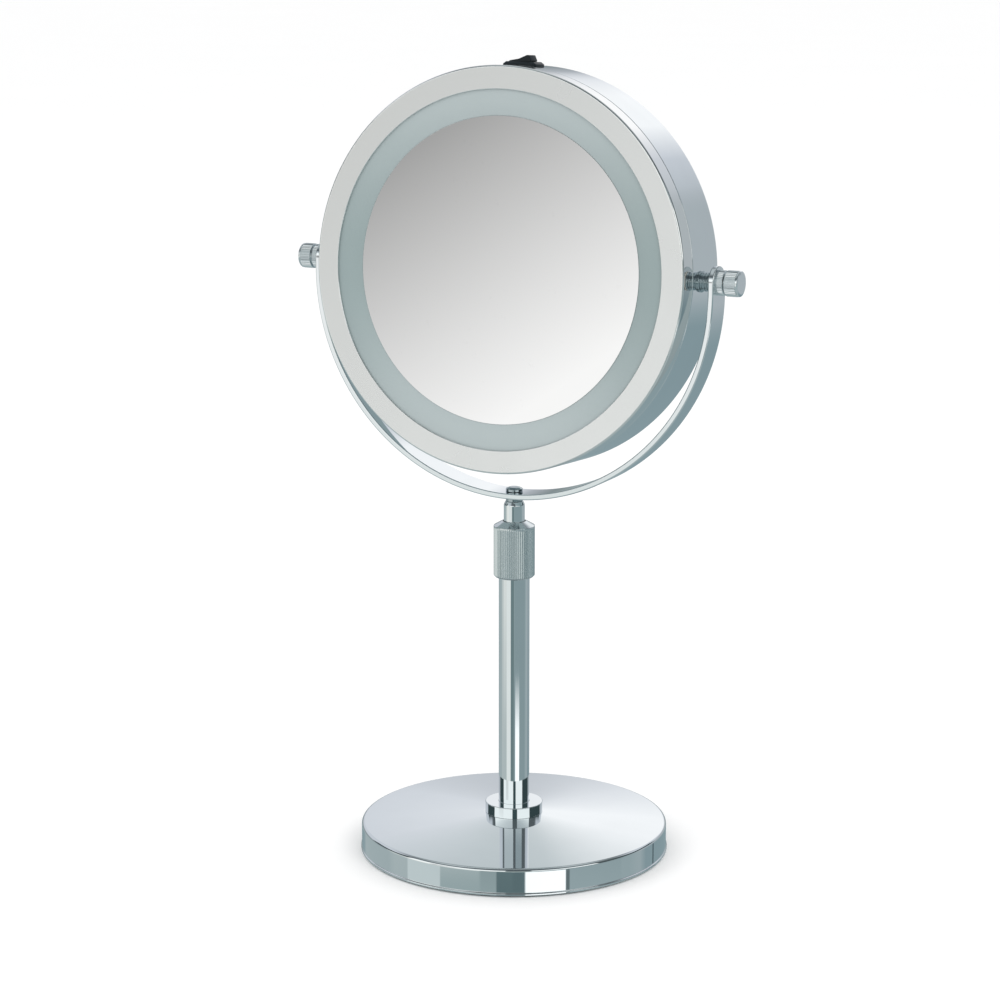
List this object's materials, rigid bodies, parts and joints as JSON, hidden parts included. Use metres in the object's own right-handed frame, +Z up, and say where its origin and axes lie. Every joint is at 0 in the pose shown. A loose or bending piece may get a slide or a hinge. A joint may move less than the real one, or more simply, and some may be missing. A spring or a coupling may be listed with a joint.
{
  "type": "lighted vanity mirror",
  "caption": "Free-standing round make-up mirror with a lit ring, a magnifying rear side, a tilting yoke and a height-adjustable chrome stand on a round base.",
  "frame": {"origin": "centre of the underside of the round base, on the surface that it stands on", "axes": "+Z up the column; the lit face looks along -Y, tilted 3.6 degrees upwards at rest; +X along the tilt axis, to the right of a person who looks into the lit face"},
  "size_m": [0.2082, 0.1358, 0.3481],
  "materials": {
    "chrome_plate": "polished",
    "iron_weight": "raw",
    "grip_pad": "matte",
    "zinc_steel": "zinc plated",
    "dark_steel": "dark",
    "brass_sleeve": "machined",
    "brass_tabs": "tinned",
    "white_nylon": "matte",
    "silvered_glass": "polished",
    "foam_tape": "matte",
    "frosted_acrylic": "frosted",
    "white_plastic": "moulded",
    "grey_plastic": "moulded",
    "black_plastic": "satin",
    "circuit_board": "lacquered",
    "led_package": "cast",
    "battery_jacket": "printed jacket without markings",
    "contact_steel": "nickel plated",
    "red_lead": "satin",
    "black_lead": "satin"
  },
  "bodies": {
    "base": {"base_shell": "chrome_plate", "base_weight": "iron_weight", "base_pad": "grip_pad", "base_bolt": "zinc_steel", "base_washer": "zinc_steel", "column_collar": "chrome_plate", "outer_tube": "chrome_plate", "tube_foot": "zinc_steel", "collet": "brass_sleeve"},
    "nut": {"clamp_nut": "chrome_plate"},
    "mast": {"sliding_rod": "chrome_plate", "rod_bush": "white_nylon", "rod_plug": "zinc_steel", "neck_washer": "dark_steel", "yoke_screw": "chrome_plate"},
    "yoke": {"yoke_band": "chrome_plate", "left_friction_washer": "white_nylon", "right_friction_washer": "white_nylon", "left_ring": "chrome_plate", "right_ring": "chrome_plate"},
    "head": {"casing_drum": "chrome_plate", "front_bezel": "chrome_plate", "left_post": "chrome_plate", "right_post": "chrome_plate", "left_post_nut": "zinc_steel", "right_post_nut": "zinc_steel", "front_mirror": "silvered_glass", "mirror_tape": "foam_tape", "light_diffuser": "frosted_acrylic", "light_carrier": "white_plastic", "led_board": "circuit_board", "leds": "led_package", "led_resistors": "black_plastic", "switch_body": "black_plastic", "switch_terminals": "brass_tabs", "battery_tray": "grey_plastic", "battery_cells": "battery_jacket", "contact_springs": "contact_steel", "contact_plates": "contact_steel", "tray_screws": "zinc_steel", "supply_lead": "red_lead", "return_lead": "black_lead", "board_lead": "red_lead"},
    "knob_left": {"left_knob": "chrome_plate"},
    "knob_right": {"right_knob": "chrome_plate"},
    "rocker": {"switch_rocker": "black_plastic"},
    "rear_cover": {"rear_bezel": "chrome_plate", "rear_mirror": "silvered_glass", "rear_backing": "white_plastic"}
  },
  "joints": [
    {"name": "height_slide", "type": "slide", "parent": "base", "child": "mast", "axis": [0, 0, 1], "range_m": [0, 0.08]},
    {"name": "clamp_nut_turn", "type": "hinge", "parent": "base", "child": "nut", "pos_m": [0, 0, 0.1357], "axis": [0, 0, 1], "range_deg": [0, 180]},
    {"name": "yoke_swivel", "type": "hinge", "parent": "mast", "child": "yoke", "pos_m": [0, 0, 0.1588], "axis": [0, 0, 1], "continuous": true},
    {"name": "head_tilt", "type": "hinge", "parent": "yoke", "child": "head", "pos_m": [0, 0, 0.258], "axis": [1, 0, 0], "continuous": true},
    {"name": "left_knob_turn", "type": "hinge", "parent": "head", "child": "knob_left", "pos_m": [-0.1, 0, 0.258], "axis": [1, 0, 0], "range_deg": [0, 180]},
    {"name": "right_knob_turn", "type": "hinge", "parent": "head", "child": "knob_right", "pos_m": [0.1, 0, 0.258], "axis": [1, 0, 0], "range_deg": [0, 180]},
    {"name": "switch_rock", "type": "hinge", "parent": "head", "child": "rocker", "pos_m": [0, 0.00844, 0.34434], "axis": [0, 0.998, -0.0628], "range_deg": [0, 18]},
    {"name": "rear_cover_pull", "type": "slide", "parent": "head", "child": "rear_cover", "axis": [0, 0.998, -0.0628], "range_m": [0, 0.03]}
  ]
}
